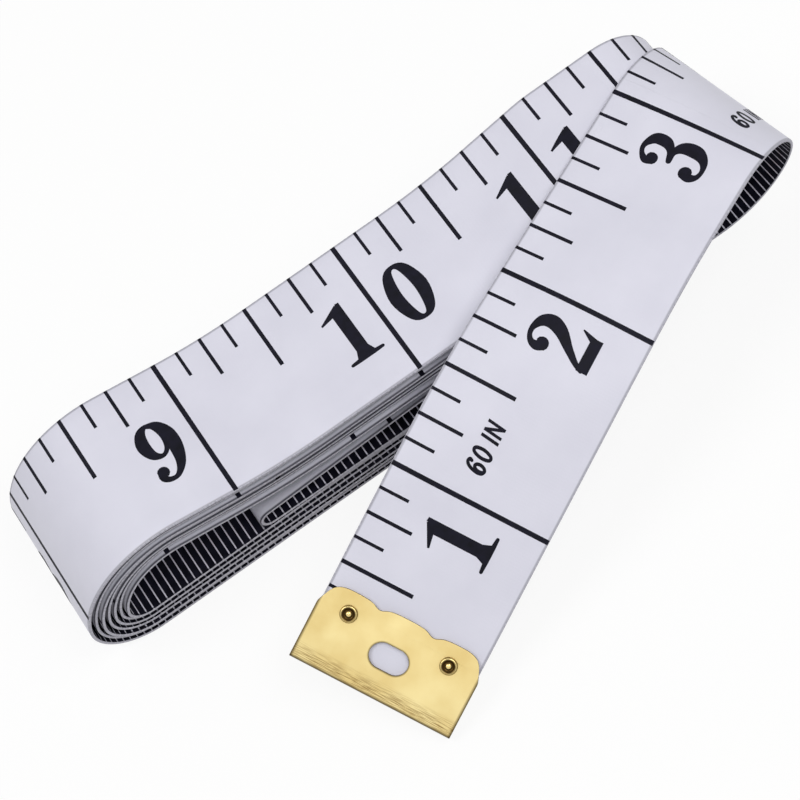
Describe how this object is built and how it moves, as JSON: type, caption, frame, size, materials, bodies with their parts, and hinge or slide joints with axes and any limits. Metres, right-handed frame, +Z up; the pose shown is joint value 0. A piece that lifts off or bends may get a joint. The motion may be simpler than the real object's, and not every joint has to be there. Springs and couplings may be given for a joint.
{
  "type": "cloth tape measure",
  "caption": "Soft cloth tape measure wound flat in a loose coil, its free end with a brass clip lying over the coil.",
  "frame": {"origin": "on the resting surface, under the middle of the whole object's bounding box", "axes": "+X along the coil, towards the fold that carries the tape over it; +Z up, away from the resting surface; -Y towards the side where the free end hangs"},
  "size_m": [0.1002, 0.0535, 0.0209],
  "materials": {
    "cloth": "smooth coated cloth, slightly glossy, printed on both sides",
    "clip_brass": "bright stamped sheet",
    "rivet_brass": "bright, dished heads"
  },
  "bodies": {
    "coil": {"tape_coil": "cloth", "end_clip": "clip_brass", "end_rivet_1": "rivet_brass", "end_rivet_2": "rivet_brass"},
    "lead": {"tape_lead": "cloth", "start_clip": "clip_brass", "start_rivet_1": "rivet_brass", "start_rivet_2": "rivet_brass"}
  },
  "joints": [
    {"name": "lead_lift", "type": "hinge", "parent": "coil", "child": "lead", "pos_m": [0.03582, 0.00827, 0.02093], "axis": [-0.4258, 0.9048, 0], "range_deg": [0, 90]}
  ]
}
